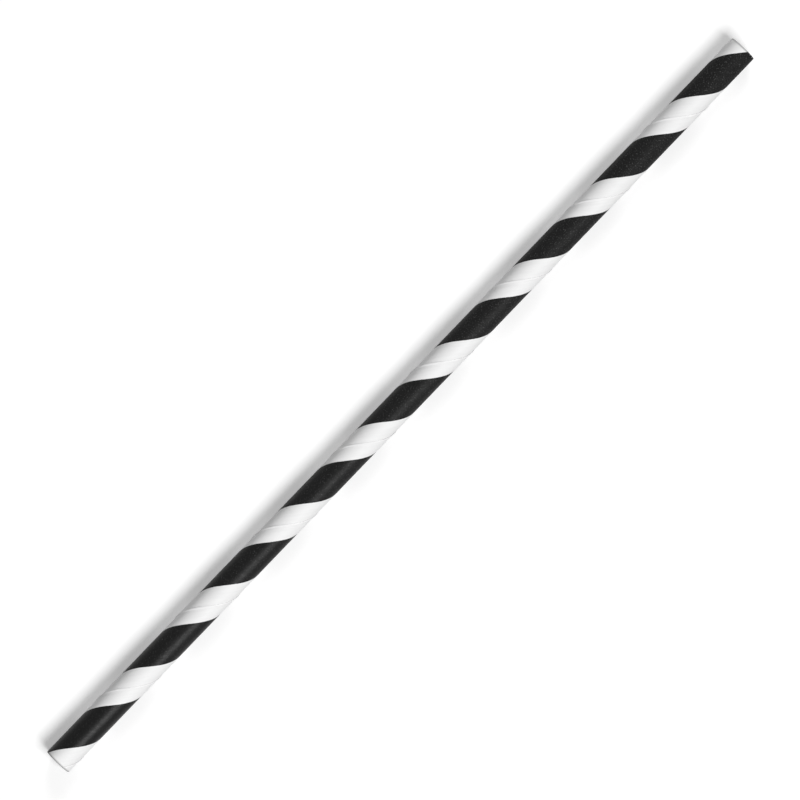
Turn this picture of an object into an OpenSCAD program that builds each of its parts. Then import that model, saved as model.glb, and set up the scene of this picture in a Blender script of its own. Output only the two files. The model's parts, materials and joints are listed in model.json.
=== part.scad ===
// Paper drinking straw: one spiral-wound tube of glued plies, lying on its side.
// X runs along the straw and Z is up. The origin is on the surface that it lies on, below its middle.

/* [Tube] */
// Length of the straw
straw_l = 200; // [120:1:260]
// Outside diameter of the paper tube
outer_d = 6; // [5:0.1:12]
// Number of plies wound into the wall
plies = 3; // [2:1:5]
// Thickness of one ply, glued and pressed
ply_t = 0.13; // [0.08:0.01:0.2]
// Depth of the bevel that the cutter leaves round each rim
rim_depth = 0.1; // [0.02:0.01:0.12]
// Length of that bevel along the straw
rim_l = 0.3; // [0.1:0.05:1]

/* [Winding] */
// Advance of the outer ply along the straw in one turn
pitch = 22.8; // [18:0.1:40]
// Angle round the straw that the lap covers, where the outer ply's edges meet
lap_deg = 20; // [10:1:40]
// Height of the pressed lap above the outer ply
lap_h = 0.04; // [0.03:0.01:0.1]

/* [Print] */
// Width of the black stripe, square to its edges
stripe_w = 7.5; // [3:0.1:10]
// Thickness of the stripe's ink on the outer ply
ink_t = 0.02; // [0.01:0.005:0.03]
// Place along the straw, from its middle, where the stripe crosses the top
stripe_x = 1.3; // [-11:0.1:11]
// Distance from the middle of the stripe to the middle of the seam, square to both
seam_offset = 6.6; // [4:0.1:9]

/* [Hidden] */

paper_colour = [0.95, 0.95, 0.93];
ink_colour = [0.07, 0.07, 0.08];

outer_r = outer_d / 2;
wall = plies * ply_t;
bore_r = outer_r - wall;
// The straw rests on its lap, the highest thing on its outside.
axis_z = outer_r + max(lap_h, ink_t);

// Angle between the axis and the winding, and how far a width square to the winding reaches along the axis
wind_deg = atan2(PI * outer_d, pitch);
function along_axis(width) = width / sin(wind_deg);

// Straight steps in one turn of each band
lap_steps = 36;
stripe_steps = 24;
// The stripe's cutter starts inside the wall and ends outside it, at these shares of the outside radius.
cutter_in_r = 0.9 * outer_r;
cutter_out_r = 1.1 * outer_r;
cutter_far_r = 2 * outer_r;
cutter_arc_deg = 50;
// The top of the lying straw in the section that is drawn before it is laid along X
top_deg = 180;
// The wall's ring starts this far round, between the corners of the bands.
ring_start_deg = 3;
overrun = 1;

function polar(r, a) = r * [cos(a), sin(a)];

// Ring of the wall between two radii, with bevelled rims, standing along Z
module wall_ring(inner, outer) {
    end_z = straw_l / 2;
    rotate(ring_start_deg)
        rotate_extrude($fn = 180)
            polygon([
                [inner, -end_z],
                [outer - rim_depth, -end_z],
                [outer, -end_z + rim_l],
                [outer, end_z - rim_l],
                [outer - rim_depth, end_z],
                [inner, end_z]
            ]);
}

// Section wound round the axis as a right-hand band that crosses the top at cross_x and passes both rims
module wound(cross_x, steps) {
    turns_before = floor((straw_l / 2 + cross_x) / pitch) + 1;
    turns_after = floor((straw_l / 2 - cross_x) / pitch) + 1;
    turns = turns_before + turns_after;
    translate([0, 0, cross_x - turns_before * pitch])
        rotate(top_deg)
            linear_extrude(height = turns * pitch, twist = -360 * turns, slices = turns * steps, segments = 1)
                children();
}

// Section of the lap, from the middle of the wall to its top
module lap_section() {
    arcs = ceil(lap_deg * lap_steps / 360);
    angles = [for (i = [0 : arcs]) lap_deg * (i / arcs - 1 / 2)];
    polygon(concat(
        [for (a = angles) polar(outer_r + lap_h, a)],
        [for (a = angles) polar(outer_r - wall / 2, -a)]
    ));
}

// Part of the section that the stripe takes up, reaching well outside the wall
module stripe_section() {
    span = 360 * along_axis(stripe_w) / pitch;
    far_count = floor(span / cutter_arc_deg);
    polygon(concat(
        [polar(cutter_in_r, -span / 2), polar(cutter_out_r, -span / 2)],
        [for (i = [1 : 1 : far_count]) polar(cutter_far_r, span * (i / (far_count + 1) - 1 / 2))],
        [polar(cutter_out_r, span / 2), polar(cutter_in_r, span / 2)]
    ));
}

// Pressed lap of the outer ply, from rim to rim
module lap() {
    intersection() {
        cylinder(h = straw_l - 2 * rim_l, r = cutter_far_r, center = true);
        wound(stripe_x + along_axis(seam_offset), lap_steps) lap_section();
    }
}

// Glued plies as one wall, with the lap of the outer ply
module wound_paper() {
    wall_ring(bore_r, outer_r);
    lap();
}

// Black stripe that is printed along the outer ply before it is wound
module printed_stripe() {
    intersection() {
        wall_ring(outer_r - wall / 2, outer_r + ink_t);
        wound(stripe_x, stripe_steps) stripe_section();
    }
}

module straw() {
    translate([0, 0, axis_z])
        rotate([0, 90, 0])
            difference() {
                union() {
                    color(paper_colour) wound_paper();
                    color(ink_colour) printed_stripe();
                }
                color(paper_colour) cylinder(h = straw_l + overrun, r = bore_r, center = true, $fn = 180);
            }
}

straw();
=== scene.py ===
"""Looks of a spiral-wound paper drinking straw, lying on a white floor and seen from straight above."""

import json
import math

import bmesh
import bpy
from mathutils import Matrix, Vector, noise


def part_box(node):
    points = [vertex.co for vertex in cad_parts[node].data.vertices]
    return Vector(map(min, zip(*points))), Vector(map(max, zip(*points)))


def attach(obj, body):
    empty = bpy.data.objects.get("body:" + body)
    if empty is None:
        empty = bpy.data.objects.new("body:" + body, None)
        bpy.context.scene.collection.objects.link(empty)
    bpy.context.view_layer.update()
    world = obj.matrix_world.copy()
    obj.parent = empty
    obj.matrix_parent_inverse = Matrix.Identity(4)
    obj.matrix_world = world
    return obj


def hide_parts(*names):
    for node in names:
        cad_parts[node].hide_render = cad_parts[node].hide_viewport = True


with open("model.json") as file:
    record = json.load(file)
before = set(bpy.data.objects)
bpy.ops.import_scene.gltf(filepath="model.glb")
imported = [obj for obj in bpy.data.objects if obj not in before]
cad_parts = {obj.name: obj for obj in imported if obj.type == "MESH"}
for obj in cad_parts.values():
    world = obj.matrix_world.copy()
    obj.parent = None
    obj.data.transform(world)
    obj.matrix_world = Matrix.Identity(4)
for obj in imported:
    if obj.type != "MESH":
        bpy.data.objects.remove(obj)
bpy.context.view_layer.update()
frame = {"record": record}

# Lengths are in millimetres until a mesh or the camera is made. The floor and the lights are in metres.
MM = 0.001

mounts = {m["name"]: m for m in frame["record"]["mounts"]}
OUTER_R = mounts["outer_wall"]["dims"]["r_mm"]
BORE_R = mounts["bore"]["dims"]["r_mm"]
AXIS_Z = mounts["bore"]["pos_m"][2] / MM
node_low, node_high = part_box("straw")
END_X = (node_high[0] - node_low[0]) / MM / 2
ENDS = (-1, 1)

# The winding: one strip of paper per ply, glued round the tube as a right-hand helix
PITCH = 22.8
GIRTH = 2 * math.pi * OUTER_R
WIND = math.atan2(GIRTH, PITCH)
SIN_W, COS_W = math.sin(WIND), math.cos(WIND)
STRIP_W = PITCH * SIN_W

# The black stripe, and the distance from its middle to the outer ply's sharp edge, square to both
STRIPE_X = 1.3
STRIPE_W = 7.65
EDGE_FROM_STRIPE = 7.0
# Where the sharp edge crosses the top, and the stripe's middle across the strip from that edge
EDGE_X = STRIPE_X + EDGE_FROM_STRIPE / SIN_W
STRIPE_MID = STRIP_W - EDGE_FROM_STRIPE

# The lap: the strip's far side rises over its near side and ends in a sharp edge, with a groove beside it.
# Each rise runs between two distances from the strip's far side.
LAP_H = 0.09
LAP_RISE = (0.5, 0.2)
LAP_EDGE = 0.12
LAP_EDGE_DROP = 0.5
LAP_GROOVE = 0.004
INNER_LAP_H = 0.03
INNER_LAP_RISE = (0.9, 0.3)
# How far along the straw the inner ply's edge lies from the outer ply's, in turns
INNER_EDGE_TURN = 0.37

# Print and sealing coat on the outer ply, and the slight unevenness of the wound paper
PRINT_T = 0.02
WAVE_H = 0.004
WAVE_SCALE = (0.55, 0.06)
WAVE_SEED = 3.7
BORE_WAVE_SHARE = 0.5

# The cut ends: a bevel where the knife pressed the outer ply in, with rings of edges at these distances
# from the end
RIM_DEPTH = 0.1
RIM_L = 0.3
RIM_RINGS = (0.3, 0.22, 0.14, 0.08, 0.035, 0.01)
# The cut face starts this far in from the outside. Between its plies are grooves, each with a low crown
# on its inner side.
FACE_START = 0.115
PLIES = 3
PLY_T = (OUTER_R - BORE_R) / PLIES
PLY_LINES = [OUTER_R - k * PLY_T for k in range(1, PLIES)]
PLY_GROOVE = 0.02
PLY_GROOVE_HALF = 0.012
PLY_CROWN_IN = 0.06
PLY_CROWN_H = 0.004
BORE_EDGE = 0.04
CUT_ROUGH = 0.006
CUT_ROUGH_SCALE = (6, 9)

# How fine the mesh is, and how far past each end the strip is wound before it is cut
OUTER_ROWS, OUTER_SPACING = 72, 0.5
BORE_ROWS, BORE_SPACING = 48, 1.2
RISE_COLUMNS, EDGE_COLUMNS = 8, 3
RING_POINTS = 192
SPARE = 2.0
CUT_DIST = 1e-6
SHARP_DEG = 40

# The unwrapped tube is laid out in three rows for a baked texture.
BAKE_PX = 1024.0
BAKE_SCALE = 15.0
BAKE_MARGIN = 8.0
SEGMENTS = 3

# Material slots of the one piece
OUTSIDE, BORE, CUT = range(3)


def smooth(t):
    """Rises smoothly from 0 to 1 as t goes from 0 to 1."""
    t = min(max(t, 0.0), 1.0)
    return t * t * (3 - 2 * t)


def rise(a, start, end):
    """Rises from 0 to 1 between two distances from the strip's far side."""
    return smooth((a - (STRIP_W - start)) / (start - end))


def lap_height(a):
    """Height of the outer ply above the wall, at a distance a across the strip from its near edge."""
    groove = 1 - smooth(a / LAP_EDGE)
    return LAP_H * (rise(a, *LAP_RISE) - LAP_EDGE_DROP * rise(a, LAP_EDGE, 0.0)) - LAP_GROOVE * groove


def paper_wave(a, along):
    """Slight unevenness of the wound paper, drawn out along the strip."""
    return WAVE_H * noise.noise(Vector((a * WAVE_SCALE[0], along * WAVE_SCALE[1], WAVE_SEED)))


def outer_radius(a, along):
    return OUTER_R + PRINT_T + lap_height(a) + paper_wave(a, along)


def bore_radius(a, along):
    return BORE_R - INNER_LAP_H * rise(a, *INNER_LAP_RISE) + BORE_WAVE_SHARE * paper_wave(a, along)


def strip_columns(spacing):
    """Places across the strip, close together where the lap rises and at its edge."""
    rise_from, rise_to = LAP_RISE
    near_edge = [LAP_EDGE * i / EDGE_COLUMNS for i in range(EDGE_COLUMNS + 1)]
    plain = STRIP_W - rise_from - LAP_EDGE
    count = round(plain / spacing)
    places = near_edge + [LAP_EDGE + plain * i / count for i in range(1, count + 1)]
    step = (rise_from - rise_to) / RISE_COLUMNS
    places += [STRIP_W - rise_from + step * i for i in range(1, RISE_COLUMNS + 1)]
    return places + [STRIP_W - d for d in reversed(near_edge)]


def axis_angle(co):
    """Angle round the axis from the top."""
    return math.atan2(-co.y, co.z - AXIS_Z)


def axis_distance(co):
    return math.hypot(co.y, co.z - AXIS_Z)


def on_tube(x, r, angle):
    """Point at a place along the straw, a distance from the axis and an angle from the top."""
    return x, -r * math.sin(angle), AXIS_Z + r * math.cos(angle)


def cut(bm, place, normal, clear_outer=False):
    """Adds edges where a plane meets the mesh, and takes away what lies beyond it if asked."""
    everything = bm.verts[:] + bm.edges[:] + bm.faces[:]
    bmesh.ops.bisect_plane(
        bm, geom=everything, dist=CUT_DIST, plane_co=place, plane_no=normal, clear_outer=clear_outer
    )


def wound_wall(radius_of, columns, rows_per_turn, edge_x, limit):
    """A tube from -limit to limit along X, wound from one strip, with the place on the strip as a UV map."""
    bm = bmesh.new()
    uv = bm.loops.layers.uv.new("Strip")
    first = math.floor((-limit - SPARE - edge_x - PITCH) / PITCH * rows_per_turn)
    last = math.ceil((limit + SPARE - edge_x) / PITCH * rows_per_turn)
    verts, places = {}, {}
    for i in range(first, last + 1):
        turn = i / rows_per_turn
        for j, a in enumerate(columns):
            x = edge_x + a / SIN_W + PITCH * turn
            along = (x - edge_x) * COS_W + GIRTH * turn * SIN_W
            verts[i, j] = bm.verts.new(on_tube(x, radius_of(a, along), 2 * math.pi * turn))
            places[verts[i, j]] = (a, along)

    def face(corners):
        f = bm.faces.new(corners)
        f.smooth = True
        mid = sum(places[v][1] for v in corners) / len(corners)
        for loop in f.loops:
            a, along = places[loop.vert]
            # A face of the lap's edge ends on the next turn, where the strip's own count starts again.
            if abs(along - mid) > STRIP_W / 2:
                a, along = STRIP_W, mid
            loop[uv].uv = (a, along)

    end = len(columns) - 1
    for i in range(first, last):
        for j in range(end):
            face((verts[i, j], verts[i, j + 1], verts[i + 1, j + 1], verts[i + 1, j]))
        if i + 1 + rows_per_turn <= last:
            below = i + rows_per_turn
            face((verts[i, end], verts[below, 0], verts[below + 1, 0], verts[i + 1, end]))
    for side in ENDS:
        cut(bm, (side * limit, 0, 0), (side, 0, 0), clear_outer=True)
    return bm


def outside_wall():
    """The outer ply, with its rims pressed in by the knife."""
    bm = wound_wall(outer_radius, strip_columns(OUTER_SPACING), OUTER_ROWS, EDGE_X, END_X)
    for side in ENDS:
        for depth in RIM_RINGS:
            cut(bm, (side * (END_X - depth), 0, 0), (1, 0, 0))
    for k in range(1, SEGMENTS):
        cut(bm, (-END_X + 2 * END_X * k / SEGMENTS, 0, 0), (1, 0, 0))
    for v in bm.verts:
        t = (RIM_L - (END_X - abs(v.co.x))) / RIM_L
        if t > 0:
            r = axis_distance(v.co)
            drop = RIM_DEPTH * (1 - math.sqrt(max(1 - min(t, 1.0) ** 2, 0.0)))
            share = (r - drop) / r
            v.co.y *= share
            v.co.z = AXIS_Z + (v.co.z - AXIS_Z) * share
    for f in bm.faces:
        f.material_index = OUTSIDE
    return bm


def add_bore(bm):
    """Adds the inside of the innermost ply, which ends just short of the cut faces."""
    edge_x = EDGE_X + PITCH * INNER_EDGE_TURN
    bore = wound_wall(bore_radius, strip_columns(BORE_SPACING), BORE_ROWS, edge_x, END_X - BORE_EDGE)
    for f in bore.faces:
        f.material_index = BORE
    carrier = bpy.data.meshes.new("bore_scratch")
    bore.to_mesh(carrier)
    bore.free()
    bm.from_mesh(carrier)
    bpy.data.meshes.remove(carrier)
    bm.faces.ensure_lookup_table()


def ordered(edges, keep):
    """Vertices of one closed chain of edges, in order."""
    follow = {}
    for e in edges:
        if e.verts[0] in keep and e.verts[1] in keep:
            for v in e.verts:
                follow.setdefault(v, []).append(e)
    start = min(follow, key=lambda v: (round(v.co.y, 5), round(v.co.z, 5)))
    loop, v, came = [], start, None
    while True:
        loop.append(v)
        e = next(x for x in follow[v] if x is not came)
        v, came = e.other_vert(v), e
        if v is start:
            return loop


def end_loops(bm, side):
    """The open edges at one end as two loops of vertices, the outside's and the bore's."""
    edges = [e for e in bm.edges if e.is_boundary and side * e.verts[0].co.x > 0]
    verts = {v for e in edges for v in e.verts}
    outer = {v for v in verts if axis_distance(v.co) > (OUTER_R + BORE_R) / 2}
    return ordered(edges, outer), ordered(edges, verts - outer)


def signed_turn(angle):
    """The same angle between -pi and pi."""
    return (angle + math.pi) % (2 * math.pi) - math.pi


def unwrapped(loop):
    """A loop that goes up in angle, and its angles without jumps."""
    angles = [axis_angle(loop[0].co)]
    for v in loop[1:]:
        angles.append(angles[-1] + signed_turn(axis_angle(v.co) - angles[-1]))
    if angles[-1] < angles[0]:
        return unwrapped([loop[0]] + loop[:0:-1])
    return loop, angles


def zip_loops(bm, first, second):
    """Triangles of the cut face between two loops round the axis."""
    a, a_at = unwrapped(first)
    b, b_at = unwrapped(second)
    near = min(range(len(b)), key=lambda k: abs(signed_turn(b_at[k] - a_at[0])))
    b, b_at = unwrapped(b[near:] + b[:near])
    shift = round((a_at[0] - b_at[0]) / (2 * math.pi)) * 2 * math.pi
    b_at = [t + shift for t in b_at]
    a, a_at = a + a[:1], a_at + [a_at[0] + 2 * math.pi]
    b, b_at = b + b[:1], b_at + [b_at[0] + 2 * math.pi]
    i = j = 0
    while i < len(a) - 1 or j < len(b) - 1:
        if j == len(b) - 1 or (i < len(a) - 1 and a_at[i + 1] <= b_at[j + 1]):
            f = bm.faces.new((a[i], a[i + 1], b[j]))
            i += 1
        else:
            f = bm.faces.new((a[i], b[j + 1], b[j]))
            j += 1
        f.material_index = CUT
        f.smooth = True


def ring(bm, x, r):
    """A ring of vertices round the axis, with the slight unevenness of a cut."""
    round_scale, ring_scale = CUT_ROUGH_SCALE
    out = []
    for k in range(RING_POINTS):
        t = 2 * math.pi * k / RING_POINTS
        seed = Vector((math.cos(t) * round_scale, math.sin(t) * round_scale, r * ring_scale + x))
        out.append(bm.verts.new(on_tube(x + CUT_ROUGH * noise.noise(seed), r, t)))
    return out


def add_cut_faces(bm):
    """Closes both ends: three plies with a fine groove between them, and a soft edge into the bore."""
    profile = [(OUTER_R - FACE_START, 0.0)]
    for r in PLY_LINES:
        profile += [(r + PLY_GROOVE_HALF, 0.0), (r, -PLY_GROOVE), (r - PLY_GROOVE_HALF, 0.0)]
        profile += [(r - PLY_CROWN_IN, PLY_CROWN_H)]
    profile += [(BORE_R + 0.75 * BORE_EDGE, 0.0), (BORE_R + 0.25 * BORE_EDGE, -0.4 * BORE_EDGE)]
    loops = {side: end_loops(bm, side) for side in ENDS}
    for side in ENDS:
        last, bore_loop = loops[side]
        for r, out in profile:
            now = ring(bm, side * (END_X + out), r)
            zip_loops(bm, last, now)
            last = now
        zip_loops(bm, last, bore_loop)


def build_straw():
    """The whole tube as one closed mesh: printed outside, cut ends and bore."""
    bm = outside_wall()
    add_bore(bm)
    add_cut_faces(bm)
    # A lengthwise cut below, where the OFBake layout has its seam
    cut(bm, (0, 0, AXIS_Z), (0, 1, 0))
    bmesh.ops.recalc_face_normals(bm, faces=bm.faces[:])
    return bm


def bake_layout(bm):
    """Lays the tube out flat for a baked texture: the outside in rows, then the bore, then the cut faces."""
    uv = bm.loops.layers.uv.new("OFBake")
    bore_girth = 2 * math.pi * BORE_R
    seg_l = 2 * END_X / SEGMENTS
    row_h = GIRTH * BAKE_SCALE + BAKE_MARGIN * 2
    bore_scale = (BAKE_PX - 2 * BAKE_MARGIN) / (2 * END_X)
    bore_y = SEGMENTS * row_h
    disc_y = bore_y + bore_girth * bore_scale + BAKE_MARGIN * 2
    disc_scale = (BAKE_PX - disc_y - BAKE_MARGIN) / (2 * OUTER_R)
    disc_step = 2 * OUTER_R * disc_scale + 2 * BAKE_MARGIN
    for f in bm.faces:
        mid = f.calc_center_median()
        mid_angle = axis_angle(mid)
        for loop in f.loops:
            co = loop.vert.co
            angle = axis_angle(co)
            if abs(angle - mid_angle) > math.pi:
                angle += math.copysign(2 * math.pi, mid_angle)
            turn = angle / (2 * math.pi) + 0.5
            if f.material_index == OUTSIDE:
                k = min(int((mid.x + END_X) / seg_l), SEGMENTS - 1)
                u = (co.x + END_X - k * seg_l) * BAKE_SCALE
                v = k * row_h + BAKE_MARGIN + turn * GIRTH * BAKE_SCALE
            elif f.material_index == BORE:
                u = (co.x + END_X) * bore_scale
                v = bore_y + BAKE_MARGIN + turn * bore_girth * bore_scale
            else:
                u = (0 if mid.x < 0 else disc_step) + (co.y + OUTER_R) * disc_scale
                v = disc_y + (co.z - AXIS_Z + OUTER_R) * disc_scale
            loop[uv].uv = ((BAKE_MARGIN + u) / BAKE_PX, v / BAKE_PX)


class Nodes:
    """Short ways to add shader nodes to a material."""

    def __init__(self, name):
        self.material = bpy.data.materials.new(name)
        self.material.use_nodes = True
        self.tree = self.material.node_tree
        self.tree.nodes.clear()
        self.out = self.tree.nodes.new("ShaderNodeOutputMaterial")

    def add(self, kind, **settings):
        node = self.tree.nodes.new("ShaderNode" + kind)
        for key, value in settings.items():
            setattr(node, key, value)
        return node

    def put(self, socket, value):
        if isinstance(value, bpy.types.NodeSocket):
            self.tree.links.new(value, socket)
        else:
            socket.default_value = value

    def fill(self, node, *values):
        for socket, value in zip(node.inputs, values):
            self.put(socket, value)
        return node.outputs[0]

    def math(self, operation, *values):
        return self.fill(self.add("Math", operation=operation), *values)

    def vector(self, x, y, z=0.0):
        return self.fill(self.add("CombineXYZ"), x, y, z)

    def split(self, place):
        """The three coordinates of a place."""
        node = self.add("SeparateXYZ")
        self.put(node.inputs[0], place)
        return node.outputs

    def noise(self, place, scale, detail, roughness):
        node = self.add("TexNoise", noise_dimensions="3D")
        self.put(node.inputs["Vector"], place)
        node.inputs["Scale"].default_value = scale
        node.inputs["Detail"].default_value = detail
        node.inputs["Roughness"].default_value = roughness
        return node.outputs["Fac"]

    def drawn_noise(self, across, along, scale, detail, roughness):
        """Noise with its own scale across the strip and along it."""
        place = self.vector(self.math("MULTIPLY", across, scale[0]), self.math("MULTIPLY", along, scale[1]))
        return self.noise(place, 1.0, detail, roughness)

    def around_zero(self, value, size):
        """Noise from 0 to 1 as a change of this size round zero."""
        return self.math("MULTIPLY", self.math("SUBTRACT", value, 0.5), size)

    def ramp(self, value, low, high, to_low=0.0, to_high=1.0, soft=True):
        node = self.add("MapRange", interpolation_type="SMOOTHSTEP" if soft else "LINEAR")
        return self.fill(node, value, low, high, to_low, to_high)

    def mix(self, factor, a, b):
        node = self.add("Mix", data_type="FLOAT")
        self.put(node.inputs[0], factor)
        self.put(node.inputs[2], a)
        self.put(node.inputs[3], b)
        return node.outputs[0]

    def bump(self, height, strength, distance):
        node = self.add("Bump")
        node.inputs["Strength"].default_value = strength
        node.inputs["Distance"].default_value = distance
        self.put(node.inputs["Height"], height)
        return node.outputs[0]

    def grey(self, value):
        """A neutral colour of this value."""
        return self.fill(self.add("CombineColor"), value, value, value)

    def principled(self, **inputs):
        shader = self.add("BsdfPrincipled")
        for key, value in inputs.items():
            self.put(shader.inputs[key.replace("_", " ")], value)
        self.put(self.out.inputs["Surface"], shader.outputs[0])

    def diffuse(self, value):
        node = self.add("BsdfDiffuse")
        node.inputs["Color"].default_value = (value, value, value, 1.0)
        return node.outputs[0]

    def strip_place(self):
        """Distance across the strip and along it, in millimetres."""
        across, along, _ = self.split(self.add("UVMap", uv_map="Strip").outputs[0])
        return across, along

    def object_place(self):
        return self.add("TexCoord").outputs["Object"]

    def straw_x(self):
        """Place along the straw from its middle, in millimetres."""
        return self.math("DIVIDE", self.split(self.object_place())[0], MM)

    def end_distance(self):
        """Distance to the nearer end, in millimetres."""
        return self.math("SUBTRACT", END_X, self.math("ABSOLUTE", self.straw_x()))

    def axis_distance(self):
        """Distance from the straw's axis, in millimetres."""
        _, y, z = self.split(self.object_place())
        across = self.math("DIVIDE", y, MM)
        up = self.math("SUBTRACT", self.math("DIVIDE", z, MM), AXIS_Z)
        squares = self.math("ADD", self.math("MULTIPLY", up, up), self.math("MULTIPLY", across, across))
        return self.math("SQRT", squares)


# The printed paper. Noise scales are per millimetre, and a pair is across the strip and along it.
# A noise is a scale or such a pair, then the detail and the roughness. Most of it lies in NOISE_SPAN.
NOISE_SPAN = (0.3, 0.7)
PAPER_WHITE = 0.86
PAPER_ROUGH = 0.52
STREAK_NOISE, STREAK_CHANGE = ((2.2, 0.18), 3.0, 0.55), 0.1
FIBRE_NOISE, FIBRE_CHANGE = ((9.0, 2.6), 3.0, 0.6), 0.03
# Painted highlight on the lap, from where it rises
LAP_PAINTED_HIGHLIGHT, LAP_HIGHLIGHT_RISE = 0.05, (0.6, 0.3)
# Painted shade: a thin dark line along the outer ply's sharp edge, where the step turns from the light
LAP_EDGE_SHADE, LAP_EDGE_SHADE_W = 0.03, 0.1
# Painted shade along the cut ends, where the pressed-in rim turns from the light
CUT_EDGE_SHADE, CUT_EDGE_SHADE_REACH = 0.5, (0.5, 0.1)
# The ink: its edge wanders and is a little ragged, and it is chipped at the ends.
RAGGED_NOISE, EDGE_RAGGED = (5.0, 3.0, 0.6), 0.12
DRIFT_NOISE, EDGE_DRIFT = (0.35, 1.0, 0.5), 0.1
EDGE_BLUR = 0.015
CHIP_NOISE, CHIP_FROM, CHIP_REACH = (4.0, 2.0, 0.6), (0.52, 0.75), 0.45
MOTTLE_NOISE, SPECK_MOTTLE, BLACK_MOTTLE = (1.4, 3.0, 0.6), (0.3, 0.65), (0.25, 0.75)
INK_BLACK, INK_BLACK_RANGE = 0.002, (0.6, 1.4)
INK_STREAK_NOISE, INK_ROUGH = ((5.0, 0.5), 3.0, 0.65), (0.18, 0.34)
# Wear goes from the first value at the -X end to the second at the +X end, and makes the ink rougher.
WEAR, WEAR_ROUGH = (0.25, 1.0), 0.42
SPECK_NOISE, SPECK_FROM, SPECK_LIGHT = (3.4, 3.0, 0.7), (0.53, 0.72), 0.12
# Heights of the fibres, the streaks and the grain on paper and on ink, as shares of the bump's distance
FIBRE_BUMP, STREAK_BUMP, GRAIN_BUMP = 0.2, 0.9, (0.5, 0.9)
GRAIN_NOISE = (4.0, 2.0, 0.55)
BUMP_STRENGTH, BUMP_T = 0.8, 0.05
PRINT_SPECULAR = 0.14


def stripe_mask(n, across, place):
    """1 on the black stripe, else 0."""
    ragged = n.around_zero(n.noise(place, *RAGGED_NOISE), EDGE_RAGGED)
    drift = n.around_zero(n.noise(place, *DRIFT_NOISE), EDGE_DRIFT)
    from_mid = n.math("ABSOLUTE", n.math("SUBTRACT", across, STRIPE_MID))
    edge = n.math("ADD", n.math("ADD", from_mid, ragged), drift)
    stripe = n.ramp(edge, STRIPE_W / 2 + EDGE_BLUR, STRIPE_W / 2 - EDGE_BLUR)
    chip_reach = n.ramp(n.noise(place, *CHIP_NOISE), *CHIP_FROM, 0.0, CHIP_REACH)
    chipped = n.math("LESS_THAN", n.end_distance(), chip_reach)
    return n.math("MULTIPLY", stripe, n.math("SUBTRACT", 1.0, chipped))


def white_paper(n, across, streaks, fibres):
    """Lightness of the bare paper, with painted highlight and painted shade at the lap and painted shade at
    the cut ends.
    """
    white = n.math("ADD", PAPER_WHITE, n.around_zero(streaks, STREAK_CHANGE))
    white = n.math("ADD", white, n.around_zero(fibres, FIBRE_CHANGE))
    # Painted light: the lap is lightened from where it rises, as a painted highlight where the raised lap
    # catches the light. The outer ply's sharp edge gets a thin dark line of painted shade.
    highlight_from, highlight_to = LAP_HIGHLIGHT_RISE
    white = n.math("ADD", white, n.ramp(across, STRIP_W - highlight_from, STRIP_W - highlight_to, 0.0, LAP_PAINTED_HIGHLIGHT))
    white = n.math("MULTIPLY", white, n.ramp(across, LAP_EDGE_SHADE_W, 0.0, 1.0, 1.0 - LAP_EDGE_SHADE))
    # Painted shade: the paper is darkened along the cut ends, where the pressed-in rim turns away from the
    # light.
    return n.math("MULTIPLY", white, n.ramp(n.end_distance(), *CUT_EDGE_SHADE_REACH, 1.0, 1.0 - CUT_EDGE_SHADE))


def worn_ink(n, across, along, place):
    """Lightness and roughness of the ink. Paper shows through it in fine specks, more of them towards +X."""
    mottle = n.noise(place, *MOTTLE_NOISE)
    worn = n.ramp(n.straw_x(), -END_X, END_X, *WEAR, soft=False)
    specks = n.ramp(n.noise(place, *SPECK_NOISE), *SPECK_FROM)
    specks = n.math("MULTIPLY", n.math("MULTIPLY", specks, worn), n.ramp(mottle, *SPECK_MOTTLE))
    black = n.math("MULTIPLY", INK_BLACK, n.ramp(mottle, *BLACK_MOTTLE, *INK_BLACK_RANGE))
    black = n.math("ADD", black, n.math("MULTIPLY", specks, SPECK_LIGHT))
    streaks = n.drawn_noise(across, along, *INK_STREAK_NOISE)
    rough = n.math("ADD", n.ramp(streaks, *NOISE_SPAN, *INK_ROUGH), n.math("MULTIPLY", worn, WEAR_ROUGH))
    return black, rough


def printed_paper():
    n = Nodes("printed_paper")
    across, along = n.strip_place()
    place = n.vector(across, along)
    streaks = n.drawn_noise(across, along, *STREAK_NOISE)
    fibres = n.drawn_noise(across, along, *FIBRE_NOISE)
    stripe = stripe_mask(n, across, place)
    white = white_paper(n, across, streaks, fibres)
    black, rough_ink = worn_ink(n, across, along, place)
    height = n.math("ADD", n.math("MULTIPLY", fibres, FIBRE_BUMP), n.math("MULTIPLY", streaks, STREAK_BUMP))
    grain = n.math("MULTIPLY", n.noise(place, *GRAIN_NOISE), n.mix(stripe, *GRAIN_BUMP))
    height = n.math("ADD", height, grain)
    n.principled(
        Base_Color=n.grey(n.mix(stripe, white, black)),
        Roughness=n.mix(stripe, PAPER_ROUGH, rough_ink),
        Normal=n.bump(height, BUMP_STRENGTH, BUMP_T * MM),
        Specular_IOR_Level=PRINT_SPECULAR,
    )
    return n.material


# The bare paper of the bore, darker along the inner ply's edge
BORE_FIBRE_NOISE, BORE_FIBRE_BUMP = ((6.0, 2.0), 3.0, 0.6), (0.4, 0.01 * MM)
BORE_WHITE, BORE_PAPER_ROUGH = (0.8, 0.86), 0.72
BORE_LINE, BORE_LINE_W = 0.75, 0.15


def plain_paper():
    n = Nodes("plain_paper")
    across, along = n.strip_place()
    fibres = n.drawn_noise(across, along, *BORE_FIBRE_NOISE)
    white = n.ramp(fibres, *NOISE_SPAN, *BORE_WHITE)
    white = n.math("MULTIPLY", white, n.ramp(across, BORE_LINE_W, 0.0, 1.0, BORE_LINE))
    normal = n.bump(fibres, *BORE_FIBRE_BUMP)
    n.principled(Base_Color=n.grey(white), Roughness=BORE_PAPER_ROUGH, Normal=normal)
    return n.material


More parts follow.
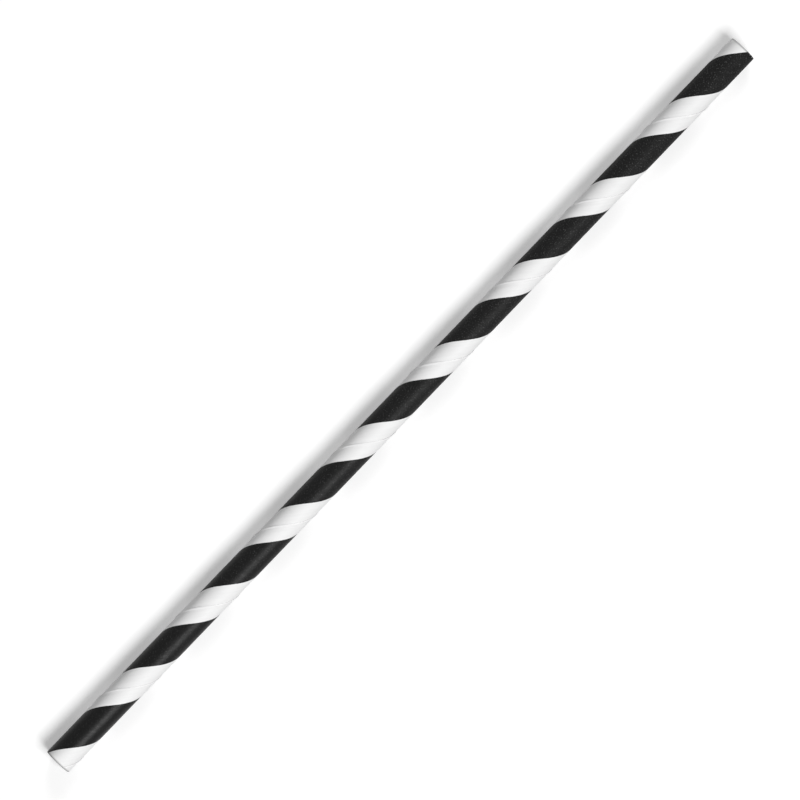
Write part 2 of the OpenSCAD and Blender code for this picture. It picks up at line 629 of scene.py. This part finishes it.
# The cut faces, with darker glue lines between the plies
CUT_FIBRE_NOISE, CUT_FIBRE_BUMP = (9.0 / MM, 4.0, 0.65), (0.6, 0.02 * MM)
CUT_WHITE, CUT_PAPER_ROUGH = (0.66, 0.84), 0.85
GLUE_DARK, GLUE_W = 0.55, (0.008, 0.03)


def cut_paper():
    n = Nodes("cut_paper")
    fibres = n.noise(n.object_place(), *CUT_FIBRE_NOISE)
    white = n.ramp(fibres, *NOISE_SPAN, *CUT_WHITE)
    radius = n.axis_distance()
    for r in PLY_LINES:
        off = n.math("ABSOLUTE", n.math("SUBTRACT", radius, r))
        white = n.math("MULTIPLY", white, n.ramp(off, *GLUE_W, GLUE_DARK, 1.0))
    normal = n.bump(fibres, *CUT_FIBRE_BUMP)
    n.principled(Base_Color=n.grey(white), Roughness=CUT_PAPER_ROUGH, Normal=normal)
    return n.material


def make_piece(bm, name, materials):
    for v in bm.verts:
        v.co *= MM
    mesh = bpy.data.meshes.new(name)
    bm.to_mesh(mesh)
    bm.free()
    for material in materials:
        mesh.materials.append(material)
    mesh.set_sharp_from_angle(angle=math.radians(SHARP_DEG))
    piece = bpy.data.objects.new(name, mesh)
    bpy.context.scene.collection.objects.link(piece)
    return piece


straw_mesh = build_straw()
bake_layout(straw_mesh)
straw = make_piece(straw_mesh, "straw_tube", [printed_paper(), plain_paper(), cut_paper()])
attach(straw, "root")
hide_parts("straw")

# The floor and the world are white to the camera and in reflections, and the floor keeps the straw's shadow.
# To all other light they are darker, so that they don't light the straw more than the lamps do.
FLOOR_SIZE = 3.0
FLOOR_COLOUR = 0.85
FLOOR_LIFT = 0.25
FLOOR_BOUNCE = 0.32
WORLD_LIGHT = 0.07


def sees_white(tree):
    """1 for camera, glossy and transmission rays, else 0."""
    path = tree.nodes.new("ShaderNodeLightPath")
    seen = path.outputs["Is Camera Ray"]
    for kind in ("Is Glossy Ray", "Is Transmission Ray"):
        either = tree.nodes.new("ShaderNodeMath")
        either.operation = "MAXIMUM"
        tree.links.new(seen, either.inputs[0])
        tree.links.new(path.outputs[kind], either.inputs[1])
        seen = either.outputs[0]
    return seen


def white_floor():
    n = Nodes("white_floor")
    lift = n.add("Emission")
    lift.inputs["Strength"].default_value = FLOOR_LIFT
    seen = n.fill(n.add("AddShader"), n.diffuse(FLOOR_COLOUR), lift.outputs[0])
    either = n.fill(n.add("MixShader"), sees_white(n.tree), n.diffuse(FLOOR_BOUNCE), seen)
    n.put(n.out.inputs["Surface"], either)
    return n.material


def white_world():
    world = bpy.data.worlds.new("studio")
    world.use_nodes = True
    tree = world.node_tree
    tree.nodes.clear()
    out = tree.nodes.new("ShaderNodeOutputWorld")
    background = tree.nodes.new("ShaderNodeBackground")
    background.inputs["Color"].default_value = (1.0, 1.0, 1.0, 1.0)
    strength = tree.nodes.new("ShaderNodeMapRange")
    strength.inputs["To Min"].default_value = WORLD_LIGHT
    strength.inputs["To Max"].default_value = 1.0
    tree.links.new(sees_white(tree), strength.inputs["Value"])
    tree.links.new(strength.outputs[0], background.inputs["Strength"])
    tree.links.new(background.outputs[0], out.inputs["Surface"])
    return world


def area_light(name, place, target, size, watts):
    data = bpy.data.lights.new(name, "AREA")
    data.shape = "RECTANGLE"
    data.size, data.size_y = size
    data.energy = watts
    light = bpy.data.objects.new(name, data)
    light.location = place
    light.rotation_euler = (Vector(target) - Vector(place)).to_track_quat("-Z", "Y").to_euler()
    bpy.context.scene.collection.objects.link(light)


bpy.ops.mesh.primitive_plane_add(size=FLOOR_SIZE)
floor = bpy.context.object
floor.name = "floor"
floor.data.materials.append(white_floor())
bpy.context.scene.world = white_world()
# The key is the soft box beside the straw, and the fill lights the far side.
area_light("key", (-0.12, -0.83, 1.2), (-0.52, 0.0, 0.0), (0.76, 0.68), 21.0)
area_light("fill", (1.1, 0.75, 0.75), (0.0, 0.0, 0.0), (0.8, 0.8), 9.6)

# The camera looks straight down, as in the photograph, where the straw's middle is at MIDDLE_PX.
LENS = 275.0
SENSOR = 36.0
CLIP_END = 10.0
IMAGE_PX = 800.0
MM_PER_PX = 0.20216
TURN = math.radians(-46.155)
MIDDLE_PX = (400.4, 405.2)
camera_data = bpy.data.cameras.new("camera")
camera_data.lens = LENS
camera_data.sensor_width = SENSOR
camera_data.clip_end = CLIP_END
camera = bpy.data.objects.new("camera", camera_data)
right = Vector((math.cos(TURN), math.sin(TURN), 0))
up = Vector((-math.sin(TURN), math.cos(TURN), 0))
off_right = (IMAGE_PX / 2 - MIDDLE_PX[0]) * MM_PER_PX
off_up = (MIDDLE_PX[1] - IMAGE_PX / 2) * MM_PER_PX
distance = IMAGE_PX * MM_PER_PX * LENS / SENSOR
camera.location = ((right * off_right + up * off_up) + Vector((0, 0, AXIS_Z + distance))) * MM
camera.rotation_euler = (0, 0, TURN)
bpy.context.scene.collection.objects.link(camera)
bpy.context.scene.camera = camera
bpy.context.scene.view_settings.view_transform = "Standard"
